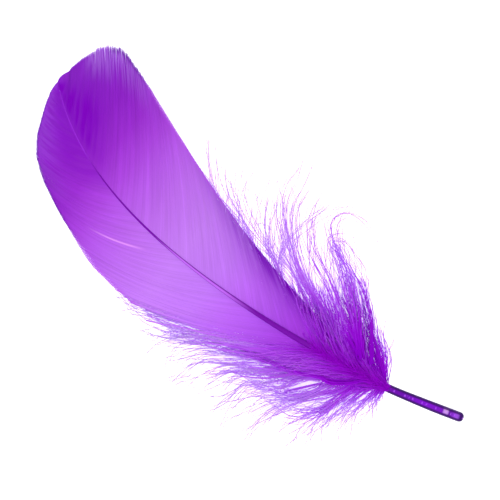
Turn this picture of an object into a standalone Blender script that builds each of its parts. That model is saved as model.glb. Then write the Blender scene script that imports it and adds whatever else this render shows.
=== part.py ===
"""A dyed goose body feather, lying on a flat surface with its domed side up.

The feather grew as one piece, so it is one object: the quill and its shaft, the closed
vane on both sides of it, and the locks of down at its base, joined by Boolean unions.
Lengths are in metres and angles in degrees. X runs from the quill's end to the tip, +Y is
the side of the narrow vane, and Z = 0 is the surface that the feather lies on.
"""

import math

import bmesh
import bpy
from mathutils import Vector

# The shaft
SHAFT_LENGTH = 0.150
QUILL_END = (-0.07359, -0.01027)  # where the shaft starts, so that the feather is centred
QUILL_RADIUS = 0.00140
NECK_RADIUS = 0.00118  # where the barbs start
NECK_START = 0.03  # share of the length from which the quill narrows to its neck
SHAFT_TIP_RADIUS = 0.00030
SHAFT_TAPER = 1.8  # over 1, the shaft thins faster near the quill than near the tip
BARBS_START = 0.155  # share of the shaft's length that is bare quill
ARCH = 0.0078  # how far the shaft's middle rises
ARCH_SKEW = 0.9  # under 1, the highest point lies nearer to the quill
REST_HEIGHT = 0.00134  # of the quill's middle where it touches the surface
TIP_HEIGHT = 0.0006
SHAFT_RINGS = 34
SHAFT_SIDES = 8

# The shaft's direction in plan: it leaves along HEADING_START and turns clockwise,
# evenly at first and then hard towards the tip. The quill itself is bent a little more.
HEADING_START = 15.4
STEADY_TURN = 17.4
TIP_TURN = 33.5
TIP_TURN_POWER = 4.2
QUILL_BEND = 3.6
QUILL_BEND_ENDS = (0.11, 0.20)

# The barbs at stations along the shaft: share of the shaft's length, the barb's length,
# and the angles that it makes with the shaft at its root and at its end.
NARROW_VANE = [
    (0.18, 0.036, 34, 28),
    (0.25, 0.0445, 27, 16),
    (0.32, 0.0518, 26, 8),
    (0.40, 0.0532, 28, 2),
    (0.50, 0.0475, 31, -2),
    (0.60, 0.0400, 36, -4),
    (0.70, 0.0329, 40, -4),
    (0.80, 0.0237, 42, 0),
    (0.90, 0.0127, 40, 8),
    (0.96, 0.0066, 28, 8),
    (1.00, 0.0022, 22, 8),
    (1.012, 0.0008, 20, 20),
]
WIDE_VANE = [
    (0.18, 0.0170, 30, 22),
    (0.26, 0.0215, 34, 28),
    (0.32, 0.0222, 40, 34),
    (0.40, 0.0254, 46, 38),
    (0.50, 0.0335, 49, 38),
    (0.60, 0.0400, 50, 38),
    (0.70, 0.0430, 50, 36),
    (0.76, 0.0428, 47, 34),
    (0.80, 0.0397, 44, 32),
    (0.85, 0.0332, 41, 30),
    (0.90, 0.0250, 38, 28),
    (0.96, 0.0120, 28, 20),
    (1.00, 0.0034, 20, 10),
    (1.012, 0.0008, 20, 20),
]
VANE_THICKNESS = 0.0006
VANE_COLUMNS = 46  # every second one is a ridge
VANE_ROWS = 6  # on each side of the shaft
RIDGE_HEIGHT = 0.00010
RIDGE_REACH = 0.00035  # how far a ridge's end stands out of the vane's edge
EDGE_HEIGHT = 0.00032
EDGE_WAVE = 0.0006  # how far the edge lifts off the surface and settles again
EDGE_WAVES = 3  # along the shaft
DOME_POWER = 1.7

# The locks of down, in the same terms
NARROW_DOWN = [
    (0.155, 0.008, 88, 100),
    (0.160, 0.016, 70, 92),
    (0.168, 0.026, 60, 84),
    (0.178, 0.033, 52, 80),
    (0.190, 0.038, 42, 74),
    (0.205, 0.042, 36, 62),
    (0.225, 0.046, 30, 54),
    (0.250, 0.050, 26, 44),
    (0.290, 0.050, 22, 34),
    (0.330, 0.050, 20, 26),
    (0.380, 0.050, 20, 19),
]
WIDE_DOWN = [
    (0.155, 0.009, 60, 56),
    (0.170, 0.017, 58, 56),
    (0.185, 0.027, 54, 62),
    (0.205, 0.035, 50, 70),
    (0.230, 0.040, 48, 76),
    (0.270, 0.047, 46, 82),
    (0.320, 0.046, 44, 82),
    (0.380, 0.043, 44, 78),
    (0.440, 0.041, 44, 70),
    (0.500, 0.039, 46, 64),
]
NARROW_LOCKS = 24
WIDE_LOCKS = 21
LOCK_SEGMENTS = 5
LOCK_SIDES = 4
LOCK_WIDTH = 0.0011
LOCK_HEIGHT = 0.00055
LOCK_LOFT = 0.0048  # the most that a lock's end stands off the surface
LOCK_WAVE = 0.0012
LOCK_CURL = 1.5  # over 1, a lock turns towards its end angle late
LOCK_DROP = 1.2  # over 1, it stays up near the shaft before it sinks
LOCK_CROWDING = 1.35  # over 1, the locks stand closer together towards the quill
FLOOR_GAP = 0.0004  # from the surface to the middle of the lowest lock's end

DYED_KERATIN = (0.19, 0.004, 0.46, 1.0)
SATIN_ROUGHNESS = 0.45
SHARP_ANGLE = 50  # edges that turn more than this are drawn sharp
GOLDEN_SHARE = 0.618034  # steps by it spread evenly between 0 and 1, out of order


def remove_everything():
    for obj in list(bpy.data.objects):
        bpy.data.objects.remove(obj)


def ease(low, high, value):
    """Rises smoothly from 0 at low to 1 at high."""
    t = min(max((value - low) / (high - low), 0.0), 1.0)
    return t * t * (3 - 2 * t)


def heading(share):
    """The shaft's direction in plan at this share of its length, in radians from +X."""
    turned = STEADY_TURN * share + TIP_TURN * max(share, 0.0) ** TIP_TURN_POWER
    bent = QUILL_BEND * (1 - ease(*QUILL_BEND_ENDS, share))
    return math.radians(HEADING_START + bent - turned)


def shaft_radius(share):
    """A quill that narrows a little to its neck, then a taper that is fine at the tip."""
    if share < BARBS_START:
        return QUILL_RADIUS + (NECK_RADIUS - QUILL_RADIUS) * ease(NECK_START, BARBS_START, share)
    along_vane = min((share - BARBS_START) / (1 - BARBS_START), 1.0)
    thinned = (1 - along_vane) ** SHAFT_TAPER
    return SHAFT_TIP_RADIUS + (NECK_RADIUS - SHAFT_TIP_RADIUS) * thinned


def shaft_height(share):
    """The height of the shaft's middle: it touches the surface at both ends."""
    rest = REST_HEIGHT + (TIP_HEIGHT - REST_HEIGHT) * share
    return rest + ARCH * math.sin(math.pi * min(max(share, 0.0) ** ARCH_SKEW, 1.0))


def shaft_point(share, steps=160):
    """A point on the shaft's middle line, walked in short steps from the quill's end."""
    x, y = QUILL_END
    step = share / steps
    for i in range(steps):
        turn = heading((i + 0.5) * step)
        x += math.cos(turn) * step * SHAFT_LENGTH
        y += math.sin(turn) * step * SHAFT_LENGTH
    return Vector((x, y, shaft_height(share)))


def at_station(stations, share):
    """Length and angles at this share of the shaft, eased between the nearest stations."""
    share = min(max(share, stations[0][0]), stations[-1][0])
    for before, after in zip(stations, stations[1:]):
        if share <= after[0]:
            t = (share - before[0]) / (after[0] - before[0])
            return [a + (b - a) * t for a, b in zip(before[1:], after[1:])]
    return list(stations[-1][1:])


def walk(share, side, length, root_angle, end_angle, count, bend=1.0):
    """Plan points of one barb, whose angle to the shaft changes along it.

    side is 1 for the narrow vane and -1 for the wide one.
    """
    start = shaft_point(share)
    points = [start.copy()]
    x, y = start.x, start.y
    for i in range(count):
        q = ((i + 0.5) / count) ** bend
        angle = heading(share) + side * math.radians(root_angle + (end_angle - root_angle) * q)
        x += math.cos(angle) * length / count
        y += math.sin(angle) * length / count
        points.append(Vector((x, y, start.z)))
    return points


def vane_barb(share, side, ridge):
    """One column of the vane, from the shaft to its edge, domed down to the surface."""
    stations = NARROW_VANE if side > 0 else WIDE_VANE
    length, root_angle, end_angle = at_station(stations, share)
    length += RIDGE_REACH if ridge else -RIDGE_REACH
    points = walk(share, side, length, root_angle, end_angle, VANE_ROWS)
    wave = 0.5 + 0.5 * math.sin(2 * math.pi * EDGE_WAVES * share + 2 * side)
    edge = EDGE_HEIGHT + EDGE_WAVE * wave
    for i, point in enumerate(points):
        q = i / VANE_ROWS
        point.z += (edge - point.z) * q**DOME_POWER
        lift = RIDGE_HEIGHT if ridge else -RIDGE_HEIGHT
        point.z += lift * math.sin(math.pi * q)
    return points


def finish(obj, material):
    obj.data.materials.append(material)
    obj.data.shade_smooth()
    obj.data.set_sharp_from_angle(angle=math.radians(SHARP_ANGLE))


def add_object(name, bm, collection):
    bmesh.ops.recalc_face_normals(bm, faces=bm.faces)
    mesh = bpy.data.meshes.new(name)
    bm.to_mesh(mesh)
    bm.free()
    obj = bpy.data.objects.new(name, mesh)
    collection.objects.link(obj)
    return obj


def tube(rings):
    """A closed bmesh: a grid that is wrapped round through these rings of points."""
    sides = len(rings[0])
    bm = bmesh.new()
    bmesh.ops.create_grid(bm, x_segments=len(rings) - 1, y_segments=sides, size=0.5)
    for vert in bm.verts:
        i = round((vert.co.x + 0.5) * (len(rings) - 1))
        j = round((vert.co.y + 0.5) * sides)
        vert.co = rings[i][j % sides]
    bmesh.ops.remove_doubles(bm, verts=bm.verts, dist=1e-7)
    bmesh.ops.holes_fill(bm, edges=bm.edges)
    return bm


def ring_around(middle, along, across, up, sides):
    """Points of an upright ellipse around middle, at a right angle to along."""
    sideways = along.cross(Vector((0, 0, 1))).normalized()
    upward = sideways.cross(along).normalized()
    turns = [2 * math.pi * i / sides for i in range(sides)]
    return [middle + sideways * across * math.cos(a) + upward * up * math.sin(a) for a in turns]


def build_shaft(collection):
    """The quill with its rounded end, running on as the shaft to the feather's tip."""
    end_cap = [(-0.0060, 0.45), (-0.0040, 0.82), (0.0010, 1.0)]  # share of length, of radius
    first = end_cap[-1][0]
    stations = end_cap + [
        (first + (1 - first) * i / SHAFT_RINGS, 1.0) for i in range(1, SHAFT_RINGS + 1)
    ]
    rings = []
    for share, narrowed in stations:
        middle = shaft_point(share)
        ahead = shaft_point(share + 0.002) - middle
        radius = shaft_radius(share) * narrowed
        rings.append(ring_around(middle, ahead.normalized(), radius, radius, SHAFT_SIDES))
    return add_object("feather", tube(rings), collection)


def build_vane(collection):
    """Both vanes as one ridged sheet that passes through the shaft, then thickened."""
    across = 2 * VANE_ROWS
    first, last = NARROW_VANE[0][0], NARROW_VANE[-1][0]
    bm = bmesh.new()
    bmesh.ops.create_grid(bm, x_segments=VANE_COLUMNS, y_segments=across, size=0.5)
    columns = []
    for i in range(VANE_COLUMNS + 1):
        share = first + (last - first) * i / VANE_COLUMNS
        ridge = i % 2 == 0
        narrow = vane_barb(share, 1, ridge)
        wide = vane_barb(share, -1, ridge)
        columns.append(wide[::-1] + narrow[1:])
    for vert in bm.verts:
        i = round((vert.co.x + 0.5) * VANE_COLUMNS)
        j = round((vert.co.y + 0.5) * across)
        vert.co = columns[i][j]
    vane = add_object("vane_sheet", bm, collection)
    thicken = vane.modifiers.new("thickness", "SOLIDIFY")
    thicken.thickness = VANE_THICKNESS
    thicken.offset = 0
    return vane


def build_lock(name, share, side, stations, number, collection):
    """One lock of down: a flat strand that leaves the shaft, waves and thins to its end."""
    length, root_angle, end_angle = at_station(stations, share)
    chance = (number * GOLDEN_SHARE) % 1
    points = walk(share, side, length, root_angle, end_angle, LOCK_SEGMENTS, bend=LOCK_CURL)
    end_height = FLOOR_GAP + LOCK_LOFT * chance
    rings = []
    for i, point in enumerate(points):
        q = i / LOCK_SEGMENTS
        nearby = points[min(i + 1, LOCK_SEGMENTS)] - points[max(i - 1, 0)]
        along = Vector((nearby.x, nearby.y, 0)).normalized()
        sideways = Vector((-along.y, along.x, 0))
        point = point + sideways * LOCK_WAVE * q * math.sin(2 * math.pi * (q + chance))
        point.z += (end_height - point.z) * q**LOCK_DROP
        swell = (0.55 + 1.6 * q) * (1 - q) ** 0.8 + 0.16  # widest before the middle, thin at its end
        width = LOCK_WIDTH * swell
        height = min(LOCK_HEIGHT * swell, point.z)
        rings.append(ring_around(point, along, width, height, LOCK_SIDES))
    return add_object(name, tube(rings), collection)


def build_down(collection):
    """The locks on both sides, close together at the quill and wider apart above it."""
    for side, stations, count, label in (
        (1, NARROW_DOWN, NARROW_LOCKS, "narrow"),
        (-1, WIDE_DOWN, WIDE_LOCKS, "wide"),
    ):
        first, last = stations[0][0], stations[-1][0]
        for number in range(count):
            share = first + (last - first) * (number / (count - 1)) ** LOCK_CROWDING
            name = f"lock_{label}_{number:02d}"
            build_lock(name, share, side, stations, number, collection)


def join(feather, name, helpers):
    """Fuses a collection of helpers to the feather and hides them."""
    union = feather.modifiers.new(name, "BOOLEAN")
    union.operation = "UNION"
    union.solver = "EXACT"
    union.operand_type = "COLLECTION"
    union.collection = helpers
    for helper in helpers.objects:
        helper.hide_render = True
        helper.display_type = "WIRE"


def fill_pockets(feather):
    """Applies the union and drops the sealed pockets that crossing locks leave inside it."""
    graph = bpy.context.evaluated_depsgraph_get()
    joined = bpy.data.meshes.new_from_object(feather.evaluated_get(graph))
    feather.modifiers.clear()
    feather.data = joined
    bm = bmesh.new()
    bm.from_mesh(joined)
    unseen = set(bm.verts)
    shells = []
    while unseen:
        shell = set()
        reached = [unseen.pop()]
        while reached:
            vert = reached.pop()
            shell.add(vert)
            beside = {edge.other_vert(vert) for edge in vert.link_edges} & unseen
            unseen -= beside
            reached += beside
        shells.append(shell)
    shells.sort(key=len)
    pockets = [vert for shell in shells[:-1] for vert in shell]
    bmesh.ops.delete(bm, geom=pockets, context="VERTS")
    bm.to_mesh(joined)
    bm.free()


def keratin():
    material = bpy.data.materials.new("dyed_keratin")
    material.use_nodes = True
    surface = material.node_tree.nodes["Principled BSDF"]
    surface.inputs["Base Color"].default_value = DYED_KERATIN
    surface.inputs["Roughness"].default_value = SATIN_ROUGHNESS
    surface.inputs["Metallic"].default_value = 0.0
    return material


def main():
    remove_everything()
    scene = bpy.context.scene.collection
    helpers = bpy.data.collections.new("vane_and_down")
    scene.children.link(helpers)
    feather = build_shaft(scene)
    build_vane(helpers)
    build_down(helpers)
    join(feather, "vane_and_down", helpers)
    fill_pockets(feather)
    finish(feather, keratin())


main()
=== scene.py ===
import math

import bmesh
import bpy
import numpy as np
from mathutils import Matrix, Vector


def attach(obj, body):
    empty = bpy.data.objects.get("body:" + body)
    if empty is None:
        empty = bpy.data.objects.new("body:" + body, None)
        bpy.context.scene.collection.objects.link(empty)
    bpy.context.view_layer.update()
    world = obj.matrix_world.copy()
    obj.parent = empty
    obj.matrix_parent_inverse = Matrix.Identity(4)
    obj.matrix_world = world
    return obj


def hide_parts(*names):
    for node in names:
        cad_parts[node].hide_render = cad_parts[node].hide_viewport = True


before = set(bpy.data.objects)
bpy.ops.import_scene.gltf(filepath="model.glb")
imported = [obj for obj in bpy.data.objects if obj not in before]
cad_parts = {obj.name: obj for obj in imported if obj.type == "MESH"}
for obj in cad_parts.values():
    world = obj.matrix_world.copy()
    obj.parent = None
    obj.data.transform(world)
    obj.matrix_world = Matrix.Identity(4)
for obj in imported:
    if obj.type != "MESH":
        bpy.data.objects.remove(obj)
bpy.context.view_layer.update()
chance = np.random.default_rng(23)

narrowSide = 1
wideSide = -1
noiseSeed = 100


def smoothStep(low, high, value):
    t = np.clip((value - low) / (high - low), 0, 1)
    return t * t * (3 - 2 * t)


# Rises from 0 to 1 between the first two limits and falls again between the last two
def between(limits, value):
    return smoothStep(*limits[:2], value) * (1 - smoothStep(*limits[2:], value))


# Rises from 0 to the third value between the first two
def rise(limits, value):
    return smoothStep(*limits[:2], value) * limits[2]


# Waves along each row, with its own number of turns and its own start
def waves(count, turns, q):
    turns = chance.uniform(*turns, count)[:, None]
    phase = chance.uniform(0, 1, count)[:, None]
    return np.sin(2 * np.pi * (q * turns + phase))


# The shaft and its middle line
shaft = {
    "length": 0.150,
    "quillEnd": (-0.07359, -0.01027),
    "quillRadius": 0.00140,
    "neckRadius": 0.00118,  # where the barbs start
    "neckStart": 0.03,
    "tipRadius": 0.00012,
    "taper": 1.8,
    "barbsStart": 0.155,  # share of the shaft's length that is bare quill
    "arch": 0.0078,
    "archSkew": 0.9,
    "restHeight": 0.00134,
    "tipHeight": 0.0006,
    "startHeading": 15.4,  # its direction in plan, which then turns clockwise
    "steadyTurn": 17.4,
    "tipTurn": 33.5,
    "tipTurnPower": 4.2,
    "quillBend": 3.6,
    "quillBendEnds": (0.11, 0.20),
    "traced": (-0.01, 1.03, 2081),  # the shares between which it is traced, and its points
    "rings": 220,
    "lastRing": (1.004, 0.4),  # its share of the length and of the width
    "sides": 16,
    "endCap": [(-0.0060, 0.24), (-0.0055, 0.46), (-0.0044, 0.68), (-0.0028, 0.84), (-0.0008, 0.94)],
    "capEnd": 0.0022,
}


def shaftHeading(share):
    turned = shaft["steadyTurn"] * share
    turned = turned + shaft["tipTurn"] * np.maximum(share, 0) ** shaft["tipTurnPower"]
    bent = shaft["quillBend"] * (1 - smoothStep(*shaft["quillBendEnds"], share))
    return np.radians(shaft["startHeading"] + bent - turned)


def traceShaft():
    share = np.linspace(*shaft["traced"])
    turn = shaftHeading(share)
    stride = (share[1] - share[0]) * shaft["length"]
    x = np.concatenate([[0], np.cumsum(np.cos((turn[1:] + turn[:-1]) / 2) * stride)])
    y = np.concatenate([[0], np.cumsum(np.sin((turn[1:] + turn[:-1]) / 2) * stride)])
    x = x - np.interp(0, share, x) + shaft["quillEnd"][0]
    y = y - np.interp(0, share, y) + shaft["quillEnd"][1]
    rest = shaft["restHeight"] + (shaft["tipHeight"] - shaft["restHeight"]) * share
    arched = np.sin(np.pi * np.minimum(np.maximum(share, 0) ** shaft["archSkew"], 1))
    return {"share": share, "points": np.stack([x, y, rest + shaft["arch"] * arched], 1)}


middleLine = traceShaft()


def shaftPoint(share):
    known = middleLine["points"]
    return np.stack([np.interp(share, middleLine["share"], known[:, k]) for k in range(3)], -1)


def shaftRadius(share):
    narrowing = smoothStep(shaft["neckStart"], shaft["barbsStart"], share)
    quill = shaft["quillRadius"] + (shaft["neckRadius"] - shaft["quillRadius"]) * narrowing
    alongVane = np.clip((share - shaft["barbsStart"]) / (1 - shaft["barbsStart"]), 0, 1)
    thinned = (1 - alongVane) ** shaft["taper"]
    upper = shaft["tipRadius"] + (shaft["neckRadius"] - shaft["tipRadius"]) * thinned
    return np.where(share < shaft["barbsStart"], quill, upper)


# Values between stations, on a smooth curve through them
def atStations(stations, share):
    table = np.array(stations, float)
    known = table[:, 0]
    share = np.clip(share, known[0], known[-1])
    i = np.clip(np.searchsorted(known, share, side="right") - 1, 0, len(known) - 2)
    span = known[i + 1] - known[i]
    t = (share - known[i]) / span
    values = []
    for column in table[:, 1:].T:
        slope = np.gradient(column, known)
        bulge = t * (1 - t)
        value = column[i] * (1 - t) ** 2 * (1 + 2 * t) + column[i + 1] * t**2 * (3 - 2 * t)
        value = value + span * bulge * (slope[i] * (1 - t) - slope[i + 1] * t)
        values.append(value)
    return values


# Random values that change slowly along a row
def slowNoise(count, knots, seedShift=0):
    heights = np.random.default_rng(noiseSeed + seedShift).uniform(-1, 1, knots + 3)
    at = np.linspace(0, knots, count)
    i = np.floor(at).astype(int)
    t = at - i
    t = t * t * (3 - 2 * t)
    return heights[i] * (1 - t) + heights[i + 1] * t


# Barbs as arrays: one row of points for each barb, from its root on the shaft to its end
def growBarbs(share, side, length, rootAngle, endAngle, steps, curl=1.0, hook=None):
    q = (np.arange(steps) + 0.5) / steps
    swing = rootAngle[:, None] + (endAngle - rootAngle)[:, None] * q**curl
    if hook is not None:
        swing = swing + hook[:, None] * smoothStep(*down["hooked"], q)
    turn = shaftHeading(share)[:, None] + side * np.radians(swing)
    stride = (length / steps)[:, None]
    start = shaftPoint(share)
    points = np.zeros((len(share), steps + 1, 3))
    points[:, :, :] = start[:, None, :]
    points[:, 1:, 0] += np.cumsum(np.cos(turn) * stride, 1)
    points[:, 1:, 1] += np.cumsum(np.sin(turn) * stride, 1)
    return points


def directions(points):
    along = np.gradient(points, axis=1)
    along /= np.linalg.norm(along, axis=2, keepdims=True)
    across = np.cross([0, 0, 1], along)
    across /= np.linalg.norm(across, axis=2, keepdims=True)
    return along, across, np.cross(along, across)


# A closed strip or spike, one unit long: each vertex knows its step along the strip
def unitTemplate(sides, steps=1, endRadius=1):
    bm = bmesh.new()
    bmesh.ops.create_cone(bm, cap_ends=True, segments=sides, radius1=1, radius2=endRadius, depth=1)
    bmesh.ops.translate(bm, verts=bm.verts, vec=(0, 0, 0.5))
    lengthwise = [e for e in bm.edges if abs(e.verts[0].co.z - e.verts[1].co.z) > 0.5]
    if steps > 1:
        bmesh.ops.subdivide_edges(bm, edges=lengthwise, cuts=steps - 1, use_grid_fill=True)
    if endRadius == 0:
        bmesh.ops.remove_doubles(bm, verts=bm.verts, dist=0.0001)
    bmesh.ops.recalc_face_normals(bm, faces=bm.faces)
    bm.verts.index_update()
    verts = np.array([v.co[:] for v in bm.verts])
    template = {
        "verts": verts,
        "step": np.rint(verts[:, 2] * steps).astype(int),
        "corners": np.array([v.index for f in bm.faces for v in f.verts]),
        "sizes": np.array([len(f.verts) for f in bm.faces]),
    }
    bm.free()
    return template


# Many copies of a template as one mesh. places holds each copy's vertices.
def joinCopies(name, template, places, attributes, material):
    copies, perCopy = places.shape[:2]
    corners = template["corners"][None, :] + perCopy * np.arange(copies)[:, None]
    sizes = np.tile(template["sizes"], copies)
    mesh = bpy.data.meshes.new(name)
    mesh.vertices.add(copies * perCopy)
    mesh.vertices.foreach_set("co", places.astype(np.float32).ravel())
    mesh.loops.add(corners.size)
    mesh.loops.foreach_set("vertex_index", corners.astype(np.int32).ravel())
    mesh.polygons.add(len(sizes))
    mesh.polygons.foreach_set("loop_start", (np.cumsum(sizes) - sizes).astype(np.int32))
    mesh.update(calc_edges=True)
    for label, values in attributes.items():
        layer = mesh.attributes.new(label, "FLOAT", "POINT")
        layer.data.foreach_set("value", values.astype(np.float32).ravel())
    mesh.shade_smooth()
    mesh.set_sharp_from_angle(angle=math.radians(60))
    mesh.materials.append(material)
    piece = addObject(name, mesh)
    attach(piece, "root")
    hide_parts("feather")
    print(name, len(mesh.polygons), "faces")


def addObject(name, data):
    added = bpy.data.objects.new(name, data)
    bpy.context.scene.collection.objects.link(added)
    return added


# A strip's vertices round each barb's line, from its half widths and half thicknesses
# and from how far its sides rise and fall
def stripPlaces(template, points, halfWidth, halfThickness, tilt=None):
    across, up = directions(points)[1:]
    step = template["step"]
    sideways = template["verts"][:, 0][None, :, None]
    upward = template["verts"][:, 1][None, :, None]
    places = points[:, step] + across[:, step] * halfWidth[:, step, None] * sideways
    places += up[:, step] * halfThickness[:, step, None] * upward
    if tilt is not None:
        places += up[:, step] * tilt[:, step, None] * sideways
    return places


# Materials

# From 0-255 sRGB to linear, for the dye and for painted light and shade alike
def srgbColour(red, green, blue):
    linear = [((c / 255 + 0.055) / 1.055) ** 2.4 if c > 10 else c / 255 / 12.92 for c in (red, green, blue)]
    return (*linear, 1.0)


# A socket whose maths is written with plain operators
class Wire:
    def __init__(self, shader, socket):
        self.shader = shader
        self.socket = socket

    def maths(self, operation, first, second):
        return self.shader.node("Math", {"operation": operation}, {0: first, 1: second})

    def __add__(self, other):
        return self.maths("ADD", self, other)

    def __mul__(self, other):
        return self.maths("MULTIPLY", self, other)

    def __sub__(self, other):
        return self.maths("SUBTRACT", self, other)

    def __rsub__(self, other):
        return self.maths("SUBTRACT", other, self)

    __radd__ = __add__
    __rmul__ = __mul__


class Shader:
    def __init__(self, name):
        self.material = bpy.data.materials.new(name)
        self.material.use_nodes = True
        self.tree = self.material.node_tree
        self.tree.nodes.clear()

    # One node: its settings are set first, then its sockets get values or links
    def node(self, kind, settings=None, sockets=None, output=0):
        made = self.tree.nodes.new("ShaderNode" + kind)
        for label, value in (settings or {}).items():
            if label == "stops":
                self.setStops(made.color_ramp.elements, value)
            else:
                setattr(made, label, value)
        for label, value in (sockets or {}).items():
            if isinstance(value, Wire):
                self.tree.links.new(value.socket, made.inputs[label])
            else:
                made.inputs[label].default_value = value
        return Wire(self, made.outputs[output]) if made.outputs else made

    def setStops(self, elements, stops):
        while len(elements) < len(stops):
            elements.new(1.0)
        for element, (position, colour) in zip(elements, stops):
            element.position = position
            element.color = srgbColour(*colour)

    def attribute(self, label):
        return self.node("Attribute", {"attribute_name": label}, output="Fac")

    def ramp(self, factor, stops):
        return self.node("ValToRGB", {"stops": stops}, {"Fac": factor})

    def window(self, value, low, high):
        limits = {"Value": value, "From Min": low, "From Max": high}
        return self.node("MapRange", {"interpolation_type": "SMOOTHSTEP"}, limits)

    def streaks(self, share, along, fineness, stretch, detail):
        vector = self.node("CombineXYZ", {}, {"X": share * fineness, "Y": along * stretch})
        return self.node("TexNoise", {}, {"Vector": vector, "Scale": 1.0, "Detail": detail})

    def mixColour(self, factor, first, second, blend="MIX"):
        settings = {"data_type": "RGBA", "blend_type": blend, "clamp_factor": True}
        return self.node("Mix", settings, {0: factor, 6: first, 7: second}, output=2)

    def darken(self, colour, shade):
        grey = self.node("CombineColor", {}, {"Red": shade, "Green": shade, "Blue": shade})
        return self.mixColour(1.0, colour, grey, "MULTIPLY")

    def body(self, colour, roughness, specular, others=None):
        sockets = {"Base Color": colour, "Roughness": roughness, "Specular IOR Level": specular}
        return self.node("BsdfPrincipled", {}, {**sockets, **(others or {})})

    # Lets a share of the light come through, in the colour of the glow
    def finishThin(self, body, through, glow):
        glow = self.node("BsdfTranslucent", {}, {"Color": srgbColour(*glow)})
        return self.finish(self.node("MixShader", {}, {0: through, 1: body, 2: glow}))

    def finish(self, surface):
        self.node("OutputMaterial", {}, {"Surface": surface})
        return self.material


# The vane's colour along the feather, by distance from the quill's end in millimetres: lighter in the middle
# of its length, darker towards the base and the tip
lengthStops = [
    (20, (135, 29, 182)), (30, (144, 34, 194)), (38, (152, 40, 204)), (45, (158, 50, 212)),
    (53, (166, 64, 221)), (60, (176, 84, 231)), (68, (188, 102, 238)), (78, (194, 122, 239)),
    (90, (198, 129, 238)), (102, (191, 112, 232)), (111, (182, 91, 226)), (117, (171, 71, 216)),
    (124, (155, 48, 203)), (132, (144, 37, 196)), (142, (140, 40, 196)),
]


# The vanes' material: dye, with painted shade, painted light and a painted highlight
def vaneMaterial():
    shader = Shader("dyedVaneWithPaintedLight")
    labels = ("share", "along", "tone", "frost", "soft", "rim", "loose")
    share, along, tone, frost, soft, rim, loose = map(shader.attribute, labels)
    place = shader.node("TexCoord", output="Object")
    axisX = shader.node("SeparateXYZ", {}, {"Vector": place}, output="X")
    quillX = shaft["quillEnd"][0]
    limits = {"Value": axisX, "From Min": quillX, "From Max": quillX + shaft["length"]}
    distance = shader.node("MapRange", {}, limits)
    millimetres = shaft["length"] * 1000
    colour = shader.ramp(distance, [(at / millimetres, stopColour) for at, stopColour in lengthStops])
    colour = shader.mixColour(loose * shader.window(along, 0.25, 0.85) * 0.75, colour, srgbColour(200, 132, 250))
    # Soft streaks of painted shade along the barbs, with each barb's own tone
    coarse = shader.streaks(share, along, 80, 1.6, 3)
    fine = shader.streaks(share, along, 300, 2.2, 1)
    colour = shader.darken(colour, 0.72 + coarse * 0.32 + fine * 0.20 + tone * 0.04)
    # Deeper colour: painted shade over the wide vane's base towards its edge, and deeper dye beside the
    # shaft near the tip
    deep = shader.attribute("deep") * (0.5 + shader.window(coarse, 0.34, 0.62) * 0.7)
    colour = shader.mixColour(deep, colour, srgbColour(128, 8, 188))
    # Paler barb ends: on the wide vane its frayed ends near the tip, on the narrow vane painted light that
    # lightens its outer part towards the tip
    paleEndsAndLightMask = frost * shader.window(fine, 0.36, 0.56)
    colour = shader.mixColour(paleEndsAndLightMask * 0.8, colour, srgbColour(184, 122, 230))
    colour = shader.mixColour(soft * shader.window(along, 0.90, 1.0) * 0.6, colour, srgbColour(196, 100, 234))
    colour = shader.mixColour(rim * shader.window(along, 0.94, 0.98) * 0.6, colour, srgbColour(100, 30, 158))
    # A painted highlight along the turned-up edge of one barb
    colour = shader.mixColour(shader.attribute("pale"), colour, srgbColour(234, 154, 250))
    relief = shader.node("Bump", {}, {"Strength": 0.25, "Distance": 0.0001, "Height": fine})
    return shader.finishThin(shader.body(colour, 0.6, 0.0, {"Normal": relief}), 0.18, (178, 60, 236))


downLook = {
    "toned": 0.06,
    "stops": [
        (0.00, (138, 0, 196)), (0.14, (160, 12, 218)), (0.30, (192, 84, 246)),
        (0.50, (218, 148, 254)), (0.76, (230, 186, 254)), (1.00, (206, 184, 232)),
    ],
    "through": (0.04, 0.38),  # how much light comes through at the root, and how much more at the end
    "glow": (218, 156, 252),
}
tuftLook = {
    "toned": 0.10,
    "stops": [(0.00, (142, 0, 192)), (0.16, (160, 4, 214)), (0.45, (184, 50, 240)), (1.00, (206, 104, 252))],
    "through": (0.12, 0.0),
    "glow": (196, 70, 244),
}


def strandMaterial(name, look):
    shader = Shader(name)
    along = shader.attribute("along")
    colour = shader.ramp(along + shader.attribute("tone") * look["toned"], look["stops"])
    through = shader.window(along, 0.1, 0.55) * look["through"][1] + look["through"][0]
    return shader.finishThin(shader.body(colour, 0.6, 0.05), through, look["glow"])


# The shaft's colour by share of its length; the lighter stops just after the quill's end paint a highlight
# on the hollow tube
shaftStops = [
    (0.000, (44, 0, 82)), (0.004, (60, 4, 106)), (0.009, (150, 76, 212)), (0.018, (128, 40, 194)),
    (0.025, (84, 6, 140)), (0.042, (112, 10, 178)), (0.080, (118, 10, 190)), (0.120, (96, 0, 156)),
    (0.150, (104, 0, 160)), (0.300, (108, 0, 154)), (0.500, (106, 0, 150)), (0.825, (112, 0, 162)),
    (0.885, (150, 40, 208)), (1.000, (144, 32, 202)),
]


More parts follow.
